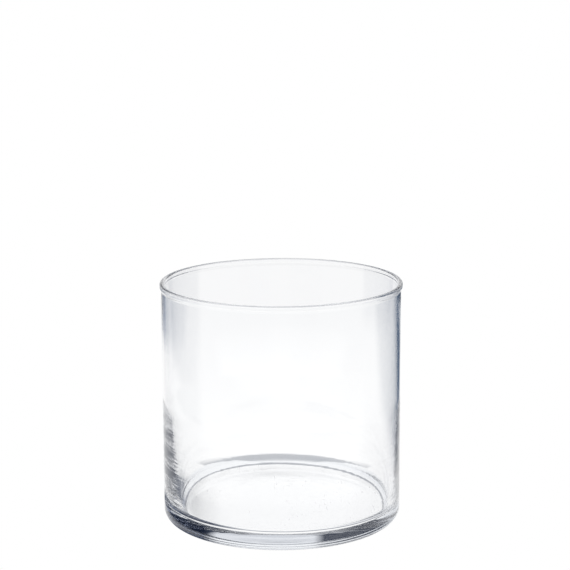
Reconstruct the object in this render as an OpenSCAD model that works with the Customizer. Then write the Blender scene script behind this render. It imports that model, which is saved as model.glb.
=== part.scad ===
// Glass cylinder vase: one piece of clear machine-made glass, with a
// fire-polished rim, a straight wall that thickens towards a heavy base,
// a rounded heel and a shallow hollow under the foot.
// Millimetres, Z up. The origin is where the vase's axis meets the table.

/* [Body] */
// Outer diameter of the straight wall
vase_d = 197; // [140:1:300]
// Height from the table to the top of the rim
vase_h = 200; // [150:1:400]
// Thickness of the straight wall
wall_t = 2.6; // [2:0.1:6]

/* [Rim] */
// How far the rounded rim swells past the outer wall
rim_swell = 1.2; // [0.2:0.1:1.5]
// Height of the upright band around the rim, between its two rounded edges
rim_band = 0.6; // [0.2:0.1:4]

/* [Base] */
// Thickness of the glass between the cavity floor and the bearing ring
base_t = 12.5; // [6:0.5:30]
// Radius of the rounded edge around the foot
heel_r = 9; // [4:0.5:20]
// Height above the table at which the wall starts to thicken downwards
taper_h = 100; // [60:1:140]
// Thickness of the wall where the cavity is widest above its corner curve
low_wall_t = 9.5; // [4:0.1:15]
// Radius of the curve between the cavity wall and its floor
corner_r = 7; // [3:0.5:30]

/* [Foot] */
// Width of the flat bearing ring that stands on the table
ring_w = 12; // [4:0.5:20]
// Depth of the hollow at the middle of the underside
hollow_depth = 0.8; // [0.4:0.1:3]

/* [Hidden] */

outer_r = vase_d / 2;
bore_r = outer_r - wall_t;
rim_r = (wall_t + rim_swell) / 2;

// Corner curve of the cavity, and the line that touches it and runs up to the bore
corner_x = outer_r - low_wall_t - corner_r;
corner_z = base_t + corner_r;
taper_x = bore_r - corner_x;
taper_z = taper_h - corner_z;
touch_angle = atan2(taper_z, taper_x) - acos(corner_r / norm([taper_x, taper_z]));
touch_x = corner_x + corner_r * cos(touch_angle);
touch_z = corner_z + corner_r * sin(touch_angle);

// Hollow under the foot, part of a large sphere that meets the bearing ring
hollow_r = outer_r - heel_r - ring_w;
sphere_r = (hollow_r * hollow_r + hollow_depth * hollow_depth) / (2 * hollow_depth);

round_fn = 96;
sphere_fn = 2880;
over = 10;

// Solid outline of the body up to the rim's widest height
module body_outline() {
    square([outer_r - heel_r, vase_h - rim_r]);
    translate([0, heel_r]) square([outer_r, vase_h - rim_r - heel_r]);
    translate([outer_r - heel_r, heel_r]) circle(r = heel_r, $fn = round_fn);
}

// Space inside, from the floor up past the rim
module cavity_outline() {
    translate([0, taper_h]) square([bore_r, vase_h - taper_h + over]);
    polygon([[0, base_t], [corner_x, base_t], [touch_x, touch_z], [bore_r, taper_h], [0, taper_h]]);
    translate([corner_x, corner_z]) circle(r = corner_r, $fn = round_fn);
}

// Swollen rim: two round edges with the upright band between them
module rim_outline() {
    translate([bore_r + rim_r, vase_h - rim_r]) {
        circle(r = rim_r, $fn = round_fn);
        translate([0, -rim_band]) circle(r = rim_r, $fn = round_fn);
        translate([-rim_r, -rim_band]) square([2 * rim_r, rim_band]);
    }
}

module foot_hollow() {
    translate([0, hollow_depth - sphere_r]) circle(r = sphere_r, $fn = sphere_fn);
}

module glass_vase() {
    color([0.80, 0.87, 0.92, 0.35])
    rotate_extrude($fn = 2 * round_fn) {
        difference() {
            body_outline();
            cavity_outline();
            foot_hollow();
        }
        rim_outline();
    }
}

glass_vase();
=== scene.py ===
import bpy
import bmesh
import math
from mathutils import Matrix, Vector


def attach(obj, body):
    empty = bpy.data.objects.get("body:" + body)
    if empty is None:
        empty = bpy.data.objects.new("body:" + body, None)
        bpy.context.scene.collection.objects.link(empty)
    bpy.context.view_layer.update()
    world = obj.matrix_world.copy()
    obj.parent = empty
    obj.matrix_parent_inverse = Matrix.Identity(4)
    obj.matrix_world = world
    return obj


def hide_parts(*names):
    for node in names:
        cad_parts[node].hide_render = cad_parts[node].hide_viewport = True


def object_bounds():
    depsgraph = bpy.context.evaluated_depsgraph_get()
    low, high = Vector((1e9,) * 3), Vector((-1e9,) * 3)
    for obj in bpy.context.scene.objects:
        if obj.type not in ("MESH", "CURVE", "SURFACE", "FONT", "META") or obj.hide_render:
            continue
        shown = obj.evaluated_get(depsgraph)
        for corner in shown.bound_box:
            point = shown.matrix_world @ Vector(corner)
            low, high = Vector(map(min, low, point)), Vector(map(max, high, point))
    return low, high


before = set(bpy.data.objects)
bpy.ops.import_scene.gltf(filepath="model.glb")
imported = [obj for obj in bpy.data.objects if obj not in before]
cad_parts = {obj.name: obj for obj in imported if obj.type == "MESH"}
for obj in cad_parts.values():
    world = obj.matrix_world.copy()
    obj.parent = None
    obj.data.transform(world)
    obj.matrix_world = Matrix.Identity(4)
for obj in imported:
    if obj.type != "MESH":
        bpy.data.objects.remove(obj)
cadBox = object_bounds()
cadLow, cadHigh = Vector(cadBox[0]), Vector(cadBox[1])
print("frame loaded, box", [round(n, 4) for n in cadHigh - cadLow])


# One socket of a node. Sums written on it add Math nodes, so a pattern reads as an expression.
class Wire:
    def __init__(self, paint, socket):
        self.paint = paint
        self.socket = socket

    def math(self, operation, *others, **settings):
        return self.paint.node("ShaderNodeMath", dict(operation=operation, **settings), [self, *others])

    def __add__(self, other):
        return self.math("ADD", other)

    def __sub__(self, other):
        return self.math("SUBTRACT", other)

    def __rsub__(self, other):
        return self.math("MULTIPLY_ADD", -1.0, other)

    def __mul__(self, other):
        return self.math("MULTIPLY", other)

    __radd__ = __add__
    __rmul__ = __mul__

    def clamped(self):
        return self.math("ADD", 0.0, use_clamp=True)

    def above(self, edge, softness):
        # 0 below the edge and 1 above it, with a soft step
        return (self * (1 / softness) + (0.5 - edge / softness)).clamped()


# A node tree being built: every node is made by the one method
class Paint:
    def __init__(self, owner):
        owner.use_nodes = True
        self.owner = owner
        self.tree = owner.node_tree
        self.tree.nodes.clear()

    def node(self, kind, settings=None, inputs=None, output=0):
        made = self.tree.nodes.new(kind)
        for key, value in (settings or {}).items():
            setattr(made, key, value)
        pairs = inputs.items() if isinstance(inputs, dict) else enumerate(inputs or [])
        for key, value in pairs:
            if isinstance(value, Wire):
                self.tree.links.new(value.socket, made.inputs[key])
            else:
                made.inputs[key].default_value = value
        return Wire(self, made.outputs[output]) if made.outputs else made

    def spot(self, kind="Object", scale=(1, 1, 1), turn=(0, 0, 0)):
        here = self.node("ShaderNodeTexCoord", output=kind)
        return self.node("ShaderNodeMapping", inputs={"Vector": here, "Scale": scale, "Rotation": turn})

    def parts(self, vector):
        return [self.node("ShaderNodeSeparateXYZ", inputs=[vector], output=n) for n in range(3)]

    def blend(self, amount, first, second):
        # colours and vectors go through Mix; sockets 6 and 7 are its two colours
        first, second = [(*c, 1) if isinstance(c, tuple) else c for c in (first, second)]
        return self.node("ShaderNodeMix", dict(data_type="RGBA"), {0: amount, 6: first, 7: second}, output=2)

    def finish(self, surface, kind="ShaderNodeOutputMaterial"):
        self.node(kind, inputs={"Surface": surface})
        return self.owner


# sizes in metres, and the number of steps around
vase = {
    "wallRadius": 0.0985,
    "wallThickness": 0.0026,
    "rimHeight": 0.0044,
    "rimUnderside": 0.0007,
    "neckHeight": 0.0020,
    "neckSwell": 0.0006,
    "heelRound": 0.009,
    "baseThickness": 0.0125,
    "taperStart": 0.100,
    "taperRound": 0.12,
    "lowWallThickness": 0.0095,
    "cornerRound": 0.007,
    "ringWidth": 0.012,
    "hollowDepth": 0.0008,
    "cavityShift": 0.0015,
    "turns": 480,
}


def roundVertex(bm, vert, radius, segments):
    # the bevel runs along both edges as far as an arc of this radius touches them
    arms = [(edge.other_vert(vert).co - vert.co).normalized() for edge in vert.link_edges]
    reach = radius / math.tan(arms[0].angle(arms[1]) / 2)
    bmesh.ops.bevel(bm, geom=[vert], offset=reach, offset_type="OFFSET", segments=segments,
                    profile=0.5, affect="VERTICES", material=-1)


def vaseOutline(bore):
    # from the middle of the underside, up the outside and down the inside:
    # distance from the axis, height, radius of the rounding, segments
    height = cadHigh.z - cadLow.z
    rimOuter = (cadHigh.x - cadLow.x) / 2
    rimRound = (rimOuter - bore) / 2 * 0.98
    rimStart = height - vase["rimHeight"]
    outer = vase["wallRadius"]
    ringInner = outer - vase["heelRound"] - vase["ringWidth"]
    return [
        (0, vase["hollowDepth"], 0, 0),
        (ringInner * 0.6, vase["hollowDepth"], 0.3, 12),
        (ringInner, 0, 0.03, 6),
        (outer, 0, vase["heelRound"], 24),
        (outer, rimStart - vase["neckHeight"], 0.0010, 6),
        (outer + vase["neckSwell"], rimStart, 0.0006, 6),
        (rimOuter, rimStart + vase["rimUnderside"], 0.0009, 6),
        (rimOuter, height, rimRound, 12),
        (bore, height, rimRound, 12),
        (bore, vase["taperStart"], vase["taperRound"], 12),
        (outer - vase["lowWallThickness"], vase["baseThickness"], vase["cornerRound"], 32),
        (outer * 0.45, vase["baseThickness"], 0.1, 12),
        (0, vase["baseThickness"], 0, 0),
    ]


def leanCavity(bm, bore):
    # the cavity leans a little to one side at the bottom, so the low wall is uneven
    slack = 0.0001
    for vert in bm.verts:
        inside = math.hypot(vert.co.x, vert.co.y) < bore + slack
        low = max(0.0, 1 - vert.co.z / vase["taperStart"])
        if inside and vert.co.z > vase["baseThickness"] - slack:
            vert.co.x += vase["cavityShift"] * min(1.0, low * 1.5)


def buildVase():
    bore = vase["wallRadius"] - vase["wallThickness"]
    outline = vaseOutline(bore)
    bm = bmesh.new()
    verts = [bm.verts.new((radius, 0, height)) for radius, height, *_ in outline]
    for start, end in zip(verts, verts[1:]):
        bm.edges.new((start, end))
    for vert, (*_, rounding, segments) in zip(verts, outline):
        if rounding:
            roundVertex(bm, vert, rounding, segments)
    bmesh.ops.spin(bm, geom=bm.verts[:] + bm.edges[:], cent=(0, 0, 0), axis=(0, 0, 1), angle=math.tau,
                   steps=vase["turns"], use_merge=True)
    bmesh.ops.remove_doubles(bm, verts=bm.verts, dist=1e-6)
    bmesh.ops.recalc_face_normals(bm, faces=bm.faces)
    leanCavity(bm, bore)
    for face in bm.faces:
        face.smooth = True
    mesh = bpy.data.meshes.new("vaseGlass")
    bm.to_mesh(mesh)
    bm.free()
    piece = bpy.data.objects.new("vaseGlass", mesh)
    bpy.context.scene.collection.objects.link(piece)
    return piece


glassLook = {
    "tint": (0.991, 0.994, 0.997),
    "ior": 1.52,
    # the lip colour below is painted shade: a grey that darkens the rim line, not a colour of the glass
    "lipPaintedShade": (0.44, 0.45, 0.48),
    "lipShadeDepth": 0.0009,
    "heelTint": (0.90, 0.925, 0.96),
    # the heel's dark colour below is a painted reflection of the dark room, laid on its front left and right
    "heelPaintedShade": (0.07, 0.09, 0.16),
    "heelTop": 0.0155,
    "heelInside": 0.0880,
    "speckTint": (0.55, 0.55, 0.56),
    "rippleScale": (7, 7, 330),
    "rippleHeight": 0.00011,
    "rippleTop": 0.075,
    "waveScale": (14, 14, 9),
    "waveHeight": 0.00012,
    "smudgeScale": (38, 38, 24),
    "smudge": 0.035,
    "scuff": 0.30,
}


def clearGlass():
    paint = Paint(bpy.data.materials.new("clearGlass"))
    side, depth, up = paint.parts(paint.spot())
    radius = (side * side + depth * depth).math("SQRT")

    def grain(scale, detail=2, turn=(0, 0, 0)):
        where = paint.spot(scale=scale, turn=turn)
        return paint.node("ShaderNodeTexNoise", inputs={"Vector": where, "Scale": 1.0, "Detail": detail})

    # fine turning rings low on the wall, strongest at two sides, over a slow waviness of the whole wall
    lowWall = (1 - up.above(glassLook["rippleTop"], 0.10)) * 0.92 + 0.04
    uneven = side.math("ABSOLUTE").above(0.080, 0.025) * 0.8 + 0.2
    ripple = (grain(glassLook["rippleScale"]) - 0.5) * lowWall * up.above(0.015, 0.008) * uneven
    wave = grain(glassLook["waveScale"], 1) - 0.5
    relief = ripple * glassLook["rippleHeight"] + wave * glassLook["waveHeight"]
    bump = paint.node("ShaderNodeBump", inputs={"Strength": 1.0, "Distance": 1.0, "Height": relief})

    # handling smudges on the wall, and short hair scuffs on the floor of the cavity
    belowRim = 1 - up.above(0.190, 0.006)
    smudge = grain(glassLook["smudgeScale"], 3).above(0.60, 0.14) * up.above(0.03, 0.03) * belowRim
    floorHeight = vase["baseThickness"]
    onFloor = up.above(floorHeight - 0.0008, 0.0004) * (1 - up.above(floorHeight + 0.0006, 0.0004))
    lengthways = grain((900, 90, 90), 1, (0, 0, 0.5)).above(0.70, 0.03)
    crossways = grain((80, 800, 80), 1, (0, 0, 1.2)).above(0.71, 0.03)
    patches = grain((40, 40, 40), 1).above(0.52, 0.08)
    scuff = ((lengthways + crossways) * patches * onFloor).clamped()
    rough = (smudge * glassLook["smudge"] + scuff * glassLook["scuff"]).clamped()

    # painted shade on the lip, a grey band that darkens the rim line; a bluish heel whose tint deepens at its
    # front left and right into a painted reflection of the dark room; specks under the foot
    mottle = (grain((30, 30, 30), 1) * 0.7 + 0.55).clamped()
    # painted shade: a mottled grey band along the top of the lip
    lipShade = up.above(cadHigh.z - glassLook["lipShadeDepth"], 0.0008) * mottle
    heel = (1 - up.above(glassLook["heelTop"], 0.003)) * radius.above(glassLook["heelInside"], 0.002)
    # where the heel is painted darker as a reflection of the dark room: fully at the front left, about a
    # third as much at the front right
    left = (0 - side).above(0.060, 0.006)
    right = side.above(0.055, 0.03) * 0.35
    heelShadeMask = ((left + right) * (0 - depth).above(0.0, 0.02)).clamped()
    specks = grain((1100, 1100, 1100), 0).above(0.80, 0.03) * (1 - up.above(0.006, 0.004))
    colour = paint.blend(lipShade, glassLook["tint"], glassLook["lipPaintedShade"])
    colour = paint.blend(heel, colour, paint.blend(heelShadeMask, glassLook["heelTint"], glassLook["heelPaintedShade"]))
    colour = paint.blend((specks + scuff * 0.25).clamped(), colour, glassLook["speckTint"])
    surface = paint.node("ShaderNodeBsdfPrincipled", inputs={
        "Base Color": colour, "Roughness": rough, "Normal": bump,
        "IOR": glassLook["ior"], "Transmission Weight": 1.0})
    return paint.finish(surface)


glass = buildVase()
glass.data.materials.append(clearGlass())
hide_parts("glass_vase")
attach(glass, "root")
print("vase built,", len(glass.data.polygons), "faces")


# The eye sees a plain white floor and sweep. What the glass mirrors and bends is a lit table: a bright lane
# runs away behind the vase, with a glow in front, and soft shades lie close to the glass.
floorPlan = {
    "size": 40.0,
    "sweep": (1.0, 1.0, 1.0),
    "lit": (1.01, 1.01, 1.01),
    "farLit": (0.955, 0.955, 0.960),
    "farStart": 0.62,
    "flank": (0.92, 0.92, 0.93),
    "flankHalfWidth": 0.16,
    "unlitLeft": (0.25, 0.29, 0.37),
    "unlitRight": (0.09, 0.13, 0.20),
    "unlitReach": (0.66, 3.0),
    "litHalfWidth": 0.205,
    "laneShift": 0.035,
    "widening": 0.147,
    "glow": (1.5, 1.5, 1.5),
    "glowReach": (0.15, 0.42),
}

# how strong each shade is and the ring that it lies in, as distances from the axis
shades = {
    "colour": (0.05, 0.07, 0.12),
    "behind": 0.50,
    "behindRing": (0.104, 0.134),
    "behindHalfWidth": 0.092,
    "heel": 0.8,
    "heelRing": (0.0885, 0.0925),
    "left": 0.95,
    "leftRing": (0.114, 0.138),
    "leftHeel": 0.95,
    "leftHeelRing": (0.086, 0.0985),
    "rightFront": 0.8,
    "rightFrontRing": (0.0985, 0.115),
}


def whitePaint():
    paint = Paint(bpy.data.materials.new("whiteSweep"))
    return paint.finish(paint.node("ShaderNodeEmission", inputs={"Color": (*floorPlan["sweep"], 1)}))


def litLane(paint, side, depth, radius):
    aside = (side + floorPlan["laneShift"]).math("ABSOLUTE") - depth * floorPlan["widening"]
    flank = aside.above(floorPlan["flankHalfWidth"], 0.14)
    near, far = floorPlan["unlitReach"]
    onRight = side.above(0, 0.1)
    reach = (onRight + radius.above(near, 0.12)).clamped() * (1 - radius.above(far, 2.0))
    unlit = aside.above(floorPlan["litHalfWidth"], 0.08) * depth.above(0.10, 0.10) * reach
    glowStart, glowEnd = floorPlan["glowReach"]
    glow = (0 - depth).above(0.10, 0.06) * radius.above(glowStart, 0.02) * (1 - radius.above(glowEnd, 0.3))
    colour = paint.blend(radius.above(floorPlan["farStart"], 0.3), floorPlan["lit"], floorPlan["farLit"])
    colour = paint.blend(flank, colour, floorPlan["flank"])
    colour = paint.blend(unlit, colour, paint.blend(onRight, floorPlan["unlitLeft"], floorPlan["unlitRight"]))
    return paint.blend(glow, colour, floorPlan["glow"])


def tablePaint():
    paint = Paint(bpy.data.materials.new("litTable"))
    side, depth, _ = paint.parts(paint.spot())
    radius = (side * side + depth * depth).math("SQRT")

    def ring(name, innerEdge, outerEdge):
        inner, outer = shades[name + "Ring"]
        return radius.above(inner, innerEdge) * (1 - radius.above(outer, outerEdge))

    # close behind, with a straight near edge, so the base shows it as a crescent
    notWide = 1 - side.math("ABSOLUTE").above(shades["behindHalfWidth"], 0.012)
    behind = ring("behind", 0.006, 0.01) * depth.above(0.0995, 0.004) * notWide
    beside = 1 - (depth + 0.02).math("ABSOLUTE").above(0.075, 0.03)
    left = ring("left", 0.005, 0.006) * (0 - side).above(0.070, 0.03) * beside
    leftHeel = ring("leftHeel", 0.003, 0.003) * (0 - side).above(0.045, 0.03) * (0 - depth).above(0.020, 0.03)
    rightFront = ring("rightFront", 0.003, 0.006) * side.above(0.045, 0.03) * (0 - depth).above(0.035, 0.03)
    colour = litLane(paint, side, depth, radius)
    for name, mask in (("behind", behind), ("heel", ring("heel", 0.002, 0.003)), ("left", left),
                       ("leftHeel", leftHeel), ("rightFront", rightFront)):
        colour = paint.blend(mask * shades[name], colour, shades["colour"])
    return paint.finish(paint.node("ShaderNodeEmission", inputs={"Color": colour}))


def buildStage(name, paint, height, seenByEye, dome=False):
    mesh = bpy.data.meshes.new(name)
    bm = bmesh.new()
    bmesh.ops.create_grid(bm, x_segments=1, y_segments=1, size=floorPlan["size"] / 2,
                          matrix=Matrix.Translation((0, 0, height)))
    if dome:
        bmesh.ops.create_uvsphere(bm, u_segments=48, v_segments=24, radius=floorPlan["size"] * 0.45)
    bm.to_mesh(mesh)
    bm.free()
    piece = bpy.data.objects.new(name, mesh)
    bpy.context.scene.collection.objects.link(piece)
    piece.data.materials.append(paint)
    piece.visible_camera = seenByEye
    for rays in ("diffuse", "glossy", "transmission", "volume_scatter", "shadow"):
        setattr(piece, "visible_" + rays, not seenByEye)


buildStage("whiteSweep", whitePaint(), cadLow.z - 0.0006, True, dome=True)
buildStage("litTable", tablePaint(), cadLow.z - 0.0003, False)

# angles in degrees, distance in metres, focal length in millimetres
camera = {
    "elevation": 15.16,
    "distance": 1.576,
    "lens": 119.53,
    "tiltUp": 3.43,
    "panRight": 0.121,
    "roll": -0.199,
}


def buildCamera():
    data = bpy.data.cameras.new("camera")
    data.lens = camera["lens"]
    data.sensor_width = 36
    eye = bpy.data.objects.new("camera", data)
    bpy.context.scene.collection.objects.link(eye)
    low = math.radians(camera["elevation"])
    middle = (cadLow + cadHigh) / 2
    place = middle + camera["distance"] * Vector((0, -math.cos(low), math.sin(low)))
    aim = (Matrix.Rotation(math.radians(-camera["panRight"]), 4, "Z")
           @ Matrix.Rotation(math.pi / 2 - low + math.radians(camera["tiltUp"]), 4, "X")
           @ Matrix.Rotation(math.radians(camera["roll"]), 4, "Z"))
    eye.matrix_world = Matrix.Translation(place) @ aim
    bpy.context.scene.camera = eye


buildCamera()


# a dim room with a pale horizon, a white backdrop behind the vase, a window on the left and a soft top light
room = {
    "wall": (0.022, 0.032, 0.058),
    "horizon": (1.0, 1.0, 1.0),
    "horizonTop": 0.15,
    "darkTowards": (0.85, 0.52, 0.0),
    "darkEdge": 0.85,
    "backdropLow": (1.05, 1.05, 1.05),
    "backdropHigh": (0.72, 0.73, 0.76),
    "backdropLeft": 0.20,
    "backdropRight": 0.42,
    "backdropFade": 0.30,
    "window": (0.86, 0.88, 0.92),
    "windowTowards": (-0.94, -0.34, 0.10),
    "windowEdge": 0.62,
    "windowTop": 0.38,
    "topLight": (0.75, 0.76, 0.78),
    "topTowards": (-0.20, 0.30, 0.93),
    "topEdge": 0.88,
}


def buildLight():
    paint = Paint(bpy.data.worlds.new("studio"))
    towards = paint.node("ShaderNodeTexCoord", output="Generated")
    side, depth, up = paint.parts(towards)

    def facing(name):
        # 1 inside the cone around this way into the room
        dot = dict(operation="DOT_PRODUCT")
        along = paint.node("ShaderNodeVectorMath", dot, [towards, room[name + "Towards"]], output="Value")
        return along.above(room[name + "Edge"], 0.2)

    notRight = 1 - side.above(room["backdropRight"], 0.08)
    notLeft = 1 - (0 - side).above(room["backdropLeft"], 0.06)
    behind = notRight * notLeft * depth.above(0.0, 0.2)
    backdrop = paint.blend(up.above(room["backdropFade"], 0.12), room["backdropLow"], room["backdropHigh"])
    window = facing("window") * (1 - up.above(room["windowTop"], 0.3))
    horizon = (1 - up.above(room["horizonTop"], 0.05)) * (1 - facing("dark"))
    colour = paint.blend(window, room["wall"], room["window"])
    colour = paint.blend(facing("top"), colour, room["topLight"])
    colour = paint.blend(behind, colour, backdrop)
    colour = paint.blend(horizon, colour, room["horizon"])
    paint.finish(paint.node("ShaderNodeBackground", inputs={"Color": colour}), "ShaderNodeOutputWorld")
    bpy.context.scene.world = paint.owner


buildLight()
scene = bpy.context.scene
scene.view_settings.view_transform = "Standard"
for kind in ("max", "transmission", "glossy"):
    setattr(scene.cycles, kind + "_bounces", 64)
print("studio ready")
